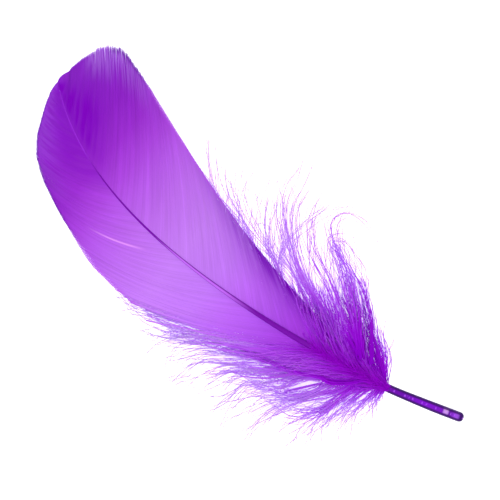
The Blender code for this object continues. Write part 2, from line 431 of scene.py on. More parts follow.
# The shaft's material: dye, with painted highlights, painted light and painted shade
def shaftMaterial():
    shader = Shader("dyedShaftWithPaintedLight")
    share, crown, flank, around = map(shader.attribute, ("share", "crown", "flank", "around"))
    colour = shader.ramp(share, shaftStops)
    # A painted highlight: the top of the shaft is paler along the middle of its length
    upper = shader.window(share, 0.43, 0.52) - shader.window(share, 0.60, 0.68)
    body = shader.window(crown, 0.35, 0.75) * shader.window(flank, -0.75, -0.2)
    colour = shader.mixColour(upper * body * 0.85, colour, srgbColour(188, 102, 234))
    lines = shader.streaks(share * 0.2, around, 40, 24, 2)
    colour = shader.darken(colour, 0.7 + lines * 0.6)
    onQuill = 1 - shader.window(share, 0.14, 0.18)
    # Painted light: a pale pane on one side near the quill's end, as light shows through the hollow tube
    pane = shader.window(share, 0.026, 0.030) - shader.window(share, 0.036, 0.040)
    colour = shader.mixColour(pane * shader.window(flank, 0.6, 0.1), colour, srgbColour(186, 138, 212))
    # Painted shade: the quill's sides are darker
    edge = onQuill * shader.window(crown, 0.97, 0.80)
    colour = shader.mixColour(edge * 0.94, colour, srgbColour(50, 0, 90))
    dots = shader.streaks(share, around, 230, 1.2, 0)
    glint = onQuill * shader.window(crown, 0.93, 0.985) * shader.window(dots, 0.56, 0.66)
    colour = shader.mixColour(glint * 0.6, colour, srgbColour(176, 84, 240))
    relief = shader.node("Bump", {}, {"Strength": 0.2, "Distance": 0.0002, "Height": lines})
    return shader.finish(shader.body(colour, 0.45, 0.08, {"Normal": relief}))


# The quill and the shaft: one tube with a rounded end

def buildShaft():
    capShares, capWidths = np.transpose(shaft["endCap"])
    lastShare, lastWidth = shaft["lastRing"]
    share = np.concatenate([capShares, np.linspace(shaft["capEnd"], lastShare, shaft["rings"])])
    narrowed = np.concatenate([capWidths, np.ones(shaft["rings"])])
    narrowed[-1] = lastWidth
    template = unitTemplate(shaft["sides"], len(share) - 1)
    radius = (shaftRadius(share) * narrowed)[None, :]
    places = stripPlaces(template, shaftPoint(share)[None], radius, radius)
    flank, crown = template["verts"][:, :2].T
    around = np.arctan2(crown, flank) / np.pi
    marks = {"share": share[template["step"]], "around": around, "crown": crown, "flank": flank}
    joinCopies("shaft", template, places, marks, shaftMaterial())


# The vanes: closed rows of flat barbs that overlap a little

# Stations: share of the shaft's length, the barb's length,
# and its angle to the shaft at its root and at its end
narrowVane = {
    "stations": [
        (0.18, 0.0360, 34, 28), (0.25, 0.0445, 27, 16), (0.32, 0.0518, 26, 8),
        (0.40, 0.0532, 28, 2), (0.50, 0.0475, 31, -2), (0.60, 0.0404, 36, -4),
        (0.70, 0.0330, 40.6, -3), (0.80, 0.0240, 44.5, 3), (0.90, 0.0133, 43, 12),
        (0.96, 0.0072, 34, 16), (1.00, 0.0029, 26, 16), (1.012, 0.0018, -5, -3),
    ],
    # Lifts the tone of this vane's barbs: painted light that lightens the whole vane a little
    "lift": 1.2,
    "firstShare": 0.185,
    "looseUntil": 0.355,  # the barbs come apart below this share
    "barbs": 380,
    "softBetween": (0.26, 0.32, 0.44, 0.55),  # where the edge is thin
    "rimBetween": (0.45, 0.60, 1.1, 1.2),  # where the edge is darker
    # On this vane the paler ends are painted light
    "frostBetween": (0.62, 0.76, 1.1, 1.2),  # where the barbs' ends are paler
    "frostFrom": 0.45,
    "frostShare": 0.20,
    "shadedBase": (1.2, 1.3, 1.4, 1.5),  # where painted shade darkens it towards the edge
    "deepTip": (0.76, 0.84, 1.1, 1.2),  # and where it is deeper beside the shaft
    "deepTipShare": 0.42,
    "deepTipWithin": (-0.2, 0.0, 0.30, 0.75),  # as shares of a barb's length
}
wideVane = {
    "stations": [
        (0.18, 0.0170, 30, 22), (0.26, 0.0215, 34, 28), (0.32, 0.0222, 40, 34),
        (0.40, 0.0254, 46.5, 38.5), (0.50, 0.0335, 50, 39), (0.60, 0.0400, 51.3, 39.3),
        (0.70, 0.0431, 51.3, 37.3), (0.76, 0.0431, 48.4, 35.4), (0.80, 0.0401, 45.4, 33.4),
        (0.85, 0.0337, 42, 31.5), (0.90, 0.0254, 39, 29), (0.96, 0.0133, 30, 22),
        (1.00, 0.0054, 24, 16), (1.012, 0.0019, 5, 0),
    ],
    "lift": 0.0,
    "firstShare": 0.190,
    "looseUntil": 0.27,
    "barbs": 380,
    "softBetween": (0.36, 0.46, 0.64, 0.72),
    "rimBetween": (0.66, 0.72, 0.79, 0.82),
    "frostBetween": (0.62, 0.79, 0.87, 0.93),
    "frostFrom": 0.68,
    "frostShare": 1.0,
    "shadedBase": (0.15, 0.18, 0.32, 0.60),
    "deepTip": (0.79, 0.89, 1.1, 1.2),
    "deepTipShare": 0.85,
    "deepTipWithin": (-0.06, 0.16, 0.36, 0.85),
}
vanes = {narrowSide: narrowVane, wideSide: wideVane}
vane = {
    "steps": 26,
    "overlap": 0.62,  # a barb's half width as a share of the distance to the next one
    "halfWidths": (0.00003, 0.0004),  # the least and the most
    "leastGap": 0.00002,  # barbs nearer than this don't lean
    "thickness": 0.00006,
    "thinned": 0.5,  # how much thinner it gets towards its end
    "shingle": 0.00003,  # how far one edge of a barb stands over the next one
    "steepest": 0.6,  # the most that a barb leans across
    "edgeHeight": 0.00032,
    "edgeWave": 0.0006,
    "edgeWaves": 3,
    "domePower": 1.7,
    "ripple": 0.00005,
    "ripples": ((90, 7, 1.0), (190, 17, 0.6)),  # knots, seed and share of each
    "uneven": 0.003,  # how much the barbs' lengths differ
    "unevenKnots": 40,
    "frayed": 3,  # how much more they do where the ends are paler
    # Where along a barb it narrows, and by how much
    "softEnd": (0.90, 1.0, 0.45),
    "looseEnd": (0.35, 0.95, 0.9),
    "everyEnd": (0.955, 1.0, 0.5),
    "clumps": (3, 9),  # how many barbs gather in one clump
    "frostPull": 0.12,
    "loosePull": 0.35,
    "clumpFrom": (0.4, 0.80),  # for loose barbs and for the others
    "looseFrom": 0.1,  # how loose a barb is to count as loose there
    "clumpUntil": 1.02,
    # How the loose barbs at the base differ
    "looseSpread": 3,  # how soon they are fully loose
    "looseLength": (-0.40, 0.06),
    "looseRootAngle": 3,
    "looseEndAngle": 9,
    "looseTurns": (1.2, 2.4),
    "looseSway": 0.0011,
    "swayPower": 1.5,
    "slitShare": 0.624,  # one barb of the narrow vane has turned its edge up, with a painted highlight on it
    "slitWidth": 0.0012,
    "slitSharpness": 4,
    "slitBetween": (0.18, 0.34, 0.46, 0.68),
    "slitLift": 0.00012,
    "shadeMiddle": (0.15, 0.7, 0.5),  # where along a barb the painted shade sets in, and how strongly
    "shadeEnd": (0.55, 0.95, 0.4),
}


# The height of a vane's surface, domed down from the shaft to the edge
def vaneHeight(rootHeight, share, side, q):
    wave = 0.5 + 0.5 * np.sin(2 * np.pi * vane["edgeWaves"] * share + 2 * side)
    edge = vane["edgeHeight"] + vane["edgeWave"] * wave
    return rootHeight + (edge - rootHeight) * np.minimum(q, 1) ** vane["domePower"]


# For each barb, the number of the barb that its clump gathers around
def clumpCentres(count, smallest, largest):
    centres = np.zeros(count, int)
    start = 0
    while start < count:
        size = int(chance.integers(smallest, largest + 1))
        centres[start:start + size] = min(start + size // 2, count - 1)
        start += size
    return centres


def buildVane(name, side, settings, material):
    count = settings["barbs"]
    steps = vane["steps"]
    share = np.linspace(settings["firstShare"], settings["stations"][-1][0], count)
    length, rootAngle, endAngle = atStations(settings["stations"], share)
    loose = 1 - smoothStep(settings["firstShare"], settings["looseUntil"], share)
    mostlyLoose = np.minimum(loose * vane["looseSpread"], 1)[:, None]
    soft = between(settings["softBetween"], share)
    frost = between(settings["frostBetween"], share) * settings["frostShare"]
    uneven = vane["uneven"] * (slowNoise(count, vane["unevenKnots"], side) + chance.uniform(-1, 1, count))
    length = length * (1 + uneven * (1 + vane["frayed"] * frost))
    length = length * (1 + loose * chance.uniform(*vane["looseLength"], count))
    rootAngle = rootAngle + loose * chance.normal(0, vane["looseRootAngle"], count)
    endAngle = endAngle + loose * chance.normal(0, vane["looseEndAngle"], count)
    points = growBarbs(share, side, length, rootAngle, endAngle, steps)

    q = np.linspace(0, 1, steps + 1)[None, :]
    points[:, :, 2] = vaneHeight(points[:, :1, 2], share[:, None], side, q)
    ripple = sum(part * slowNoise(count, knots, seed + side) for knots, seed, part in vane["ripples"])
    points[:, :, 2] += vane["ripple"] * ripple[:, None] * np.sin(np.pi * q)

    # each barb is as wide as the way to the next one and leans towards it,
    # and the loose ones thin to strands
    along, across, up = directions(points)
    onward = np.diff(points, axis=0)
    onward = np.concatenate([onward, onward[-1:]])
    gap = np.linalg.norm(onward - (onward * along).sum(2, keepdims=True) * along, axis=2)
    climb = (onward * up).sum(2) / np.where(gap > vane["leastGap"], (onward * across).sum(2), np.inf)
    climb = np.clip(climb, -vane["steepest"], vane["steepest"]) * (1 - mostlyLoose)
    fade = np.maximum(soft[:, None] * rise(vane["softEnd"], q), mostlyLoose * rise(vane["looseEnd"], q))
    fade = np.maximum(fade, rise(vane["everyEnd"], q))
    halfWidth = np.clip(gap * vane["overlap"], *vane["halfWidths"]) * (1 - fade)
    halfThickness = np.full_like(halfWidth, vane["thickness"] / 2) * (1 - vane["thinned"] * q)

    # the ends gather in small clumps
    centres = clumpCentres(count, *vane["clumps"])
    pull = vane["frostPull"] * frost + vane["loosePull"] * loose
    start = np.where(loose > vane["looseFrom"], *vane["clumpFrom"])
    gather = pull[:, None] * smoothStep(start[:, None], vane["clumpUntil"], q)
    points[:, :, :2] += (points[centres][:, :, :2] - points[:, :, :2]) * gather[:, :, None]
    sway = vane["looseSway"] * loose[:, None] * q ** vane["swayPower"]
    sway = sway * waves(count, vane["looseTurns"], q)
    points += across * sway[:, :, None]

    # Where a painted highlight lies on the narrow vane's turned-up barb
    pale = np.zeros_like(halfWidth)
    if side == narrowSide:
        partStrands(points)
        away = (share - vane["slitShare"]) * shaft["length"] / vane["slitWidth"]
        pale = np.exp(-(away**2) * vane["slitSharpness"])[:, None] * between(vane["slitBetween"], q)
        points[:, :, 2] += vane["slitLift"] * pale

    template = unitTemplate(4, steps)
    tilt = side * vane["shingle"] + climb * halfWidth
    places = stripPlaces(template, points, halfWidth, halfThickness, tilt)
    # Each barb's own random tone, raised on the narrow vane by painted light
    tone = settings["lift"] + chance.uniform(-1, 1, count)
    # Painted shade over the wide vane's base, growing towards the barbs' ends, and deeper dye beside the
    # shaft near the tip
    deep = rise(vane["shadeMiddle"], q) + rise(vane["shadeEnd"], q)
    deep = between(settings["shadedBase"], share)[:, None] * deep
    besideShaft = between(settings["deepTipWithin"], q) * settings["deepTipShare"]
    deep = deep + between(settings["deepTip"], share)[:, None] * besideShaft
    paleEndsAndLightMask = frost[:, None] * smoothStep(settings["frostFrom"], 1, q)
    rim = between(settings["rimBetween"], share)
    changing = {"along": np.broadcast_to(q, deep.shape), "deep": deep, "pale": pale, "frost": paleEndsAndLightMask}
    whole = {"share": share, "tone": tone, "soft": soft, "rim": rim, "loose": loose}
    marks = barbMarks(template, changing, whole)
    joinCopies(name, template, places, marks, material)


# Attributes for the materials: some change along a barb and some hold for all of it
def barbMarks(template, changing, whole):
    step = template["step"]
    marks = {label: values[:, step] for label, values in changing.items()}
    return {**marks, **{label: np.repeat(values, len(step)) for label, values in whole.items()}}


# The down: wavy strands that follow the locks, each with short barbules on both sides

narrowDown = {
    "stations": [
        (0.155, 0.008, 88, 100), (0.160, 0.016, 70, 92), (0.168, 0.026, 60, 84),
        (0.178, 0.033, 52, 80), (0.190, 0.038, 42, 74), (0.205, 0.042, 36, 62),
        (0.225, 0.046, 30, 54), (0.250, 0.050, 26, 44), (0.290, 0.050, 22, 34),
        (0.330, 0.050, 20, 26), (0.380, 0.050, 20, 19),
    ],
    "locks": 24,
    "strandsPerLock": 5,
    "scatter": 8,  # how the strands' directions differ, in degrees
    "hook": 16,
    "lockHook": 14,
}
wideDown = {
    "stations": [
        (0.155, 0.009, 60, 56), (0.170, 0.017, 58, 56), (0.185, 0.027, 54, 62),
        (0.205, 0.035, 50, 70), (0.230, 0.040, 48, 76), (0.270, 0.047, 46, 82),
        (0.320, 0.046, 44, 82), (0.380, 0.043, 44, 78), (0.440, 0.041, 44, 70),
        (0.500, 0.039, 46, 64),
    ],
    "locks": 21,
    "strandsPerLock": 3,
    "scatter": 12,
    "hook": 26,
    "lockHook": 30,
}
down = {
    "steps": 22,
    "floorGap": 0.0004,
    "loft": 0.0048,
    "wave": 0.0012,
    "curl": 1.5,
    "hooked": (0.6, 1.0),  # where along a strand its end hooks
    "drop": 1.2,
    "crowding": 1.35,
    "goldenShare": 0.618034,
    # How the strands of one lock differ
    "ownShare": 0.009,
    "ownReach": (0.42, 1.04),
    "ownAngle": 5,
    "ownHeight": (-0.0008, 0.0010),
    "ownWave": 0.0009,
    "ownTurns": (1.0, 3.2),
    "gather": (0.0, 0.75),
    "gatherBetween": (0.2, 0.95),
    "rootDepth": 0.0003,
    "rootRadius": 0.00012,
    "endRadius": 0.000055,
    "taper": 0.8,
    # Where the vane's surface is read
    "cloudShares": (0.02, 0.9, 160),
    "tuck": 0.00025,
    "rise": 0.35,
    "riseFrom": 0.0005,
    "lowest": 0.00015,
}


# Points read between the steps of some rows, and the steps below them
def readPoints(points, rows, at):
    low = np.minimum(at.astype(int), points.shape[1] - 2)
    t = (at - low)[..., None]
    return points[rows, low] * (1 - t) + points[rows, low + 1] * t, low


# Strands as one record. deep: 1 keeps the root's colour to the end.
def asStrands(share, length, points, q, deep=0.0):
    count = len(share)
    strands = {"share": share, "length": length, "points": points, "q": q}
    return {**strands, "deep": np.full(count, deep), "tone": chance.uniform(-1, 1, count)}


def growStrands(side, settings):
    stations = settings["stations"]
    steps = down["steps"]
    first, last = stations[0][0], stations[-1][0]
    number = np.arange(settings["locks"])
    each = settings["strandsPerLock"]
    count = each * len(number)
    lockShare = first + (last - first) * (number / (settings["locks"] - 1)) ** down["crowding"]
    lockChance = np.repeat((number * down["goldenShare"]) % 1, each)
    leads = np.arange(count) % each == 0  # the first strand of a lock runs down its middle
    own = np.where(leads, 0.0, 1.0)
    share = np.repeat(lockShare, each) + own * chance.uniform(-down["ownShare"], down["ownShare"], count)
    share = np.clip(share, first, last)
    length, rootAngle, endAngle = atStations(stations, share)
    reach = np.where(leads, 1.0, chance.uniform(*down["ownReach"], count))
    rootAngle = rootAngle + own * chance.normal(0, down["ownAngle"], count)
    endAngle = endAngle + own * chance.normal(0, settings["scatter"], count)
    lockHook = np.repeat(chance.normal(0, settings["lockHook"], settings["locks"]), each)
    hook = lockHook + own * chance.normal(0, settings["hook"], count)
    points = growBarbs(share, side, length * reach, rootAngle, endAngle, steps, down["curl"], hook)

    # the strands of a lock draw together towards its end
    q = np.linspace(0, 1, steps + 1)[None, :]
    leader = (np.arange(count) // each * each)[:, None]
    middle = readPoints(points, leader, q * np.minimum(reach, 1)[:, None] * steps)[0]
    gather = chance.uniform(*down["gather"], count)[:, None] * smoothStep(*down["gatherBetween"], q)
    points += (middle - points) * gather[:, :, None]

    across = directions(points)[1]
    sway = down["wave"] * q * np.sin(2 * np.pi * (q + lockChance[:, None]))
    sway = sway + own[:, None] * down["ownWave"] * q * waves(count, down["ownTurns"], q)
    points += across * sway[:, :, None]
    if side == narrowSide:
        partStrands(points)
    endHeight = down["floorGap"] + down["loft"] * lockChance
    endHeight = endHeight + own * chance.uniform(*down["ownHeight"], count)
    endHeight = np.maximum(endHeight, down["floorGap"])[:, None]
    root = points[:, :1, 2] - down["rootDepth"]
    points[:, :, 2] = root + (endHeight - root) * q ** down["drop"]
    tuckUnder(points, side)
    return asStrands(share, length * reach, points, q[0])


# For each point, how far it is from the vane in plan, and the vane's height there
def overVane(points, side):
    shareInside, lastShare, rows = down["cloudShares"]
    share = np.linspace(vanes[side]["firstShare"] + shareInside, lastShare, rows)
    length, rootAngle, endAngle = atStations(vanes[side]["stations"], share)
    cloud = growBarbs(share, side, length, rootAngle, endAngle, vane["steps"])
    q = np.linspace(0, 1, vane["steps"] + 1)[None, :]
    cloud[:, :, 2] = vaneHeight(cloud[:, :1, 2], share[:, None], side, q)
    cloud = cloud.reshape(-1, 3)
    for row in points:
        apart = np.linalg.norm(row[:, None, :2] - cloud[None, :, :2], axis=2)
        nearest = np.argmin(apart, axis=1)
        yield apart[np.arange(len(nearest)), nearest], cloud[nearest, 2]


# Keeps strands under the vane, and lets them rise slowly once they are past its edge
def tuckUnder(points, side):
    for row, (apart, surface) in zip(points, overVane(points, side)):
        ceiling = surface - down["tuck"] + down["rise"] * np.maximum(apart - down["riseFrom"], 0)
        row[:, 2] = np.maximum(np.minimum(row[:, 2], ceiling), down["lowest"])


# Lays strands on the vane
def layOver(points, side):
    for i, (apart, surface) in enumerate(overVane(points, side)):
        points[i, :, 2] = surface + plume["layer"] * (1 + plume["layerChange"] * np.sin(i))


# Short barbs at the base that lie over the shaft
tuft = {
    "count": 330,  # on each side
    "shares": (0.148, 0.300),  # where on the shaft the first and the last start
    "crowding": 1.4,
    "steps": 16,
    "length": (0.008, 0.026),
    "narrowAngles": (0, 26, 4, 44),  # the least and the most, at the root and at the end
    "wideAngles": (2, 36, 8, 62),
    "hook": 12,
    "turns": (0.6, 1.6),
    "sway": 0.0006,
    "aside": (-0.8, 0.9),  # where on the shaft they start, in times its radius
    "overShaft": 0.45,
    "layers": (0.2, 1),
    "loft": 0.0004,
    "crown": 1.5,
    "radius": 0.00007,
}


# Tufts over the shaft: they start on its back and lie on the vanes
def growTufts(side, angles):
    count = tuft["count"]
    spread = np.linspace(0, 1, count) ** tuft["crowding"]
    first, last = tuft["shares"]
    share = first + (last - first) * spread
    length = chance.uniform(*tuft["length"], count)
    rootAngle = chance.uniform(angles[0], angles[1], count)
    endAngle = rootAngle + chance.uniform(angles[2] - angles[0], angles[3] - angles[1], count)
    hook = chance.normal(0, tuft["hook"], count)
    points = growBarbs(share, side, length, rootAngle, endAngle, tuft["steps"], 1.0, hook)
    q = np.linspace(0, 1, tuft["steps"] + 1)[None, :]
    across = directions(points)[1]
    sway = tuft["sway"] * q * waves(count, tuft["turns"], q)
    points += across * sway[:, :, None]

    radius = shaftRadius(share)
    aside = chance.uniform(*tuft["aside"], count)
    points += across * (radius * aside)[:, None, None] * (1 - q)[:, :, None]
    if side == narrowSide:
        partStrands(points)
    reached = length / atStations(vanes[side]["stations"], share)[0]
    surface = vaneHeight(points[:, :1, 2], share[:, None], side, q * reached[:, None])
    overShaft = (radius * np.sqrt(1 - aside**2))[:, None] * (1 - smoothStep(0, tuft["overShaft"], q))
    layer = chance.uniform(*tuft["layers"], count)[:, None] * tuft["loft"]
    points[:, :, 2] = surface + overShaft + layer * (1 + tuft["crown"] * np.sin(np.pi * q))
    return asStrands(share, length, points, q[0])


# Where the down of the narrow side parts and leaves a gap, in millimetres
parting = {
    "centre": (-33.8, 11.5),
    "turn": 55.2,
    "halfLength": 3.4,
    "halfWidth": 1.6,
    "reach": 2.4,  # how far round the gap the strands are pushed, in times its size
    "closest": 0.01,
}


# Pushes strands aside from the gap
def partStrands(points):
    turned = np.exp(1j * math.radians(parting["turn"]))
    centre = complex(*parting["centre"])
    place = ((points[:, :, 0] + 1j * points[:, :, 1]) * 1000 - centre) / turned
    place = place.real / parting["halfLength"] + 1j * place.imag / parting["halfWidth"]
    apart = np.maximum(np.abs(place), parting["closest"])
    pushed = np.where(apart < parting["reach"], 1 + apart * (1 - 1 / parting["reach"]), apart)
    place *= pushed / apart
    place = place.real * parting["halfLength"] + 1j * place.imag * parting["halfWidth"]
    place = place * turned + centre
    points[:, :, 0] = place.real / 1000
    points[:, :, 1] = place.imag / 1000


# Thin wisps that hang out from under the wide vane's edge, in millimetres
wisps = {
    "edge": [(23.9, -16.2), (19.2, -14.6), (12.6, -12.7), (5.3, -11.3), (-2.4, -10.7), (-9.4, -9.7)],
    "count": 36,
    "jitter": 0.4,
    "inside": 3.0,
    "length": (9, 17),
    "headings": (-43, -57),
    "scatter": 2.5,
    "bend": 7,
    "steps": 14,
    "radius": 0.00006,
    "height": 0.0004,
    "rise": 1.5,
    "share": 0.4,  # the share of the shaft that they belong to
    "startAlong": 0.35,  # how far towards the pale end of the down's colours they start
}


# The wisps start under the vane, along its edge
def growWisps():
    count = wisps["count"]
    at = (np.arange(count) + chance.uniform(-wisps["jitter"], wisps["jitter"], count)) / (count - 1)
    edge = np.array(wisps["edge"])
    x, y = atStations(np.column_stack([np.linspace(0, 1, len(edge)), edge]), at)
    first, last = wisps["headings"]
    heading = first + (last - first) * at + chance.normal(0, wisps["scatter"], count)
    length = wisps["inside"] + chance.uniform(*wisps["length"], count)
    q = np.linspace(0, 1, wisps["steps"] + 1)
    bend = chance.normal(0, wisps["bend"], count)[:, None] * q**2
    way = np.radians(heading[:, None] + bend)
    stride = (length / wisps["steps"])[:, None]
    x = (x - wisps["inside"] * np.cos(way[:, 0]))[:, None] + np.cumsum(np.cos(way) * stride, 1)
    y = (y - wisps["inside"] * np.sin(way[:, 0]))[:, None] + np.cumsum(np.sin(way) * stride, 1)
    end = chance.uniform(*plume["endHeights"], count)[:, None]
    z = wisps["height"] + (end - wisps["height"]) * q[None, :] ** wisps["rise"]
    points = np.stack([x / 1000, y / 1000, z], 2)
    tuckUnder(points, wideSide)
    return asStrands(np.full(count, wisps["share"]), length / 1000, points, q)


# The plumes of down: each one's middle line in plan as x and y in turn, its number of
# strands, its half widths at the root, the middle and the end in millimetres, and how far
# it keeps the root's deep colour. One more value is for those that lie on the vane: how
# much they bend, as a share of the others.
narrowPlumes = [
    ((-25.3, 0.6, -18.6, 8, -7.8, 19.2, -2.5, 22.8, 0.2, 25.9, 1, 29.5, 0.7, 31.7),
     14, (1, 1.7, 1.5), 0),
    ((-29.1, 0, -22.7, 8.8, -12.5, 17.6, -6.8, 21.6, -4.3, 26.8, -2.6, 31.2, -0.3, 33.9),
     14, (1, 1.7, 1.5), 0),
    ((-32.9, -0.6, -26.8, 9.6, -17.5, 18, -11.2, 23.2, -7.1, 27.4, -5.9, 31.4, -5, 36.7),
     16, (1, 1.8, 1.6), 0),
    ((-36, -1, -30.1, 9.5, -21.9, 18.1, -15, 22.3, -12.8, 28.7, -10.7, 33.4, -8.4, 36.2),
     16, (1, 1.8, 1.6), 0),
    ((-39, -1.4, -33.9, 8.9, -26.8, 16.5, -19.8, 20.7, -17.8, 27.5, -16.1, 30.9, -12.8, 33.2),
     15, (1, 1.8, 1.6), 0),
    ((-41.4, -1.7, -37.5, 8, -30.1, 17.6, -21.5, 22.7, -20.3, 26.9, -20.3, 31.4, -20.9, 34.8),
     14, (1, 1.6, 1.5), 0),
    ((-43, -1.8, -39.3, 8.2, -31.6, 16.8, -27.5, 20.9, -25.1, 25.3, -23, 29.2, -21.9, 33.5),
     14, (0.9, 1.5, 1.5), 0),
    ((-44.5, -2.1, -41.9, 6.1, -36.3, 13.3, -32.4, 19.5, -30.5, 24.5, -30.1, 29.5, -30.8, 35.7),
     16, (0.8, 1.5, 1.8), 0),
    ((-45.9, -2.4, -44, 5.6, -41.5, 12.8, -39.4, 17.5, -36.5, 22.6, -35.3, 25.7, -34.6, 30.2),
     14, (0.8, 1.4, 1.6), 0),
    ((-46.6, -2.6, -44.3, 2.8, -43.2, 7.9, -42.3, 13.2, -39.3, 16.8, -35.5, 19.6, -31.3, 20.1, -26.4, 19.6),
     18, (0.8, 0.9, 0.8), 0.5),
    ((-48.2, -2.7, -45.9, 2.7, -44.5, 6.8, -43.5, 12.9, -43.5, 18.3, -44.9, 25.4), 15, (0.8, 1.2, 1.6), 0),
    ((-49.2, -3.1, -47.6, 1.7, -46.8, 5, -46.2, 11.5, -45.8, 16.4, -45.7, 21), 16, (0.8, 1.1, 1.4), 0),
    ((-50.4, -3.2, -50.1, 0.5, -49.7, 4.2, -49.2, 9.8, -49.3, 14, -51.1, 17.6), 13, (0.6, 1, 1.4), 0),
    ((-51.3, -3.1, -51.5, 0.2, -52.1, 3.4, -52.5, 7), 10, (0.5, 0.8, 1), 0),
    ((-17.2, 2.2, -11.6, 7.8, -5.3, 15.7, 2.1, 21.8, 7.4, 24.6, 13.6, 26.2, 20.8, 25.5),
     20, (1, 1.7, 1.4), 0),
    ((-20.1, 1.6, -13.9, 8.5, -8.1, 15.9, -1, 21.8, 5.9, 25.9, 12.4, 27.4), 20, (1, 1.7, 1.4), 0),
    ((-46.1, -2.2, -42.6, 2.5, -38.1, 6.1, -30.7, 9.5, -22.6, 12.2, -14.4, 15, -7.1, 18.3),
     16, (0.8, 0.6, 0.5), 0.72, 0.25),
    ((-27, 0.5, -16, 11, -7.3, 17, -1.8, 20.7, 2.3, 25, 4.4, 29.7, 4.7, 33.5),
     14, (0.8, 1.2, 1), 0),
    ((-6.4, 3.6, -1.1, 10.6, 6.1, 17.4, 13.8, 22.8, 20.2, 24.8, 27.3, 25.1), 16, (1, 1.3, 1), 0),
]
widePlumes = [
    ((-48, -2, -40, -7.4, -31, -13.6, -23.6, -19.4), 84, (2.6, 2.8, 1.5), 0.86),
    ((-45, -1.6, -36, -6.2, -27, -10.8, -19.5, -15.6), 44, (2.4, 2.8, 2.2), 0.7),
    ((-50.6, -3.2, -45.9, -7.4, -39.6, -11.8, -32.9, -16.6, -27, -21.1),
     40, (1.2, 1.9, 1.4), 0.68),
    ((-40.9, -1.2, -32.8, -4.8, -24.7, -8.3, -17.1, -12.2), 44, (2.2, 1.8, 1.6), 0.8),
    ((-40.7, -4.5, -30.5, -15.9, -22.4, -22, -13.9, -26.4, -10.9, -29.8, -12.1, -33.2, -16, -34.5,
      -23.5, -32.6), 10, (1, 1.2, 0.7), 0.3),
    ((-41.2, -5, -29.4, -13.9, -18.6, -21.8, -13.7, -25.4, -15.9, -27.1, -21.6, -26.3, -26.1, -24.9,
      -28.6, -21.9), 9, (0.8, 1, 0.5), 0.3),
    ((-39.9, -5.5, -21.2, -14.7, -9.5, -20.9, -4.8, -26.6, -3.3, -32.4, -3.1, -38.2),
     16, (1, 1.6, 1.2), 0.3),
    ((-40.4, -6, -24.8, -19.7, -14.8, -25.8, -11.5, -31.6, -10, -37.2),
     12, (1, 1.4, 1.2), 0.3),
    ((-39, -1.4, -26.5, -8.1, -18.2, -10.6, -7.2, -15.9, 2, -22.8, 5.7, -30.9, 5.7, -34.4),
     18, (0.8, 1.4, 1.6), 0.2),
    ((-36.7, -1.2, -21.9, -8.5, -11.5, -12.7, -3.2, -18.6, 2, -25.4, 4, -32.3, 5.8, -37),
     16, (0.8, 1.4, 1.4), 0.2),
    ((-32, -0.6, -11.8, -10.4, -2.2, -12.6, 4, -16.9, 9.3, -25.3, 12.5, -31.2),
     10, (0.8, 1.4, 1.4), 0),
    ((-22.5, 0.4, -2.5, -11.2, 8.8, -14.6, 15.1, -17.9, 20.6, -24.5, 23.4, -29.9), 9, (0.8, 1.4, 1.3), 0),
    ((-14.9, 1.6, 9.9, -13.7, 19, -16.4, 24.6, -21.1, 28.3, -26.6), 7, (0.8, 1.3, 1.2), 0),
    ((-30.1, -0.8, -6.2, -10.9, -4.6, -16.4, -5.9, -25.4, -7.8, -30.6, -12, -33.7),
     6, (0.5, 0.7, 0.6), 0),
    ((-44.1, -5.6, -35.6, -15.7, -28.1, -20.6, -20.2, -23.4, -15.9, -25),
     12, (0.6, 0.8, 0.7), 0.6),
    ((-50.8, -3.3, -47.4, -8.2, -43.8, -12, -39.3, -15.4), 22, (0.8, 1.3, 1.2), 0.55),
    # A lock of dark strands along the fold at the wide vane's base: its curl is modelled, its darkness is
    # painted shadow
    ((-40.4, -0.8, -32.2, -3.4, -28.2, -4.6, -24.3, -5.7, -20.6, -6.9),
     22, (0.9, 0.45, 0.3), 1, 0.15),
    # Dark strands along the crease beside it: a painted shadow line
    ((-30, -2.4, -27.4, -4.6, -25.5, -5.7, -23.6, -6.1, -21.6, -5.7, -18, -6.1),
     12, (0.3, 0.3, 0.3), 1, 0.1),
]
plumes = {narrowSide: narrowPlumes, wideSide: widePlumes}
plume = {
    "steps": 26,
    "reach": (0.58, 1.05),
    "spread": 0.55,
    "widest": 1.3,
    "wave": 0.45,  # millimetres
    "turns": (1.0, 3.0),
    "bend": 3.0,  # how far the strands' ends bend away, in millimetres
    "bendBetween": (0.4, 1.3),
    "endHeights": (0.0006, 0.0042),
    "layer": 0.0004,
    "layerChange": 0.6,
}


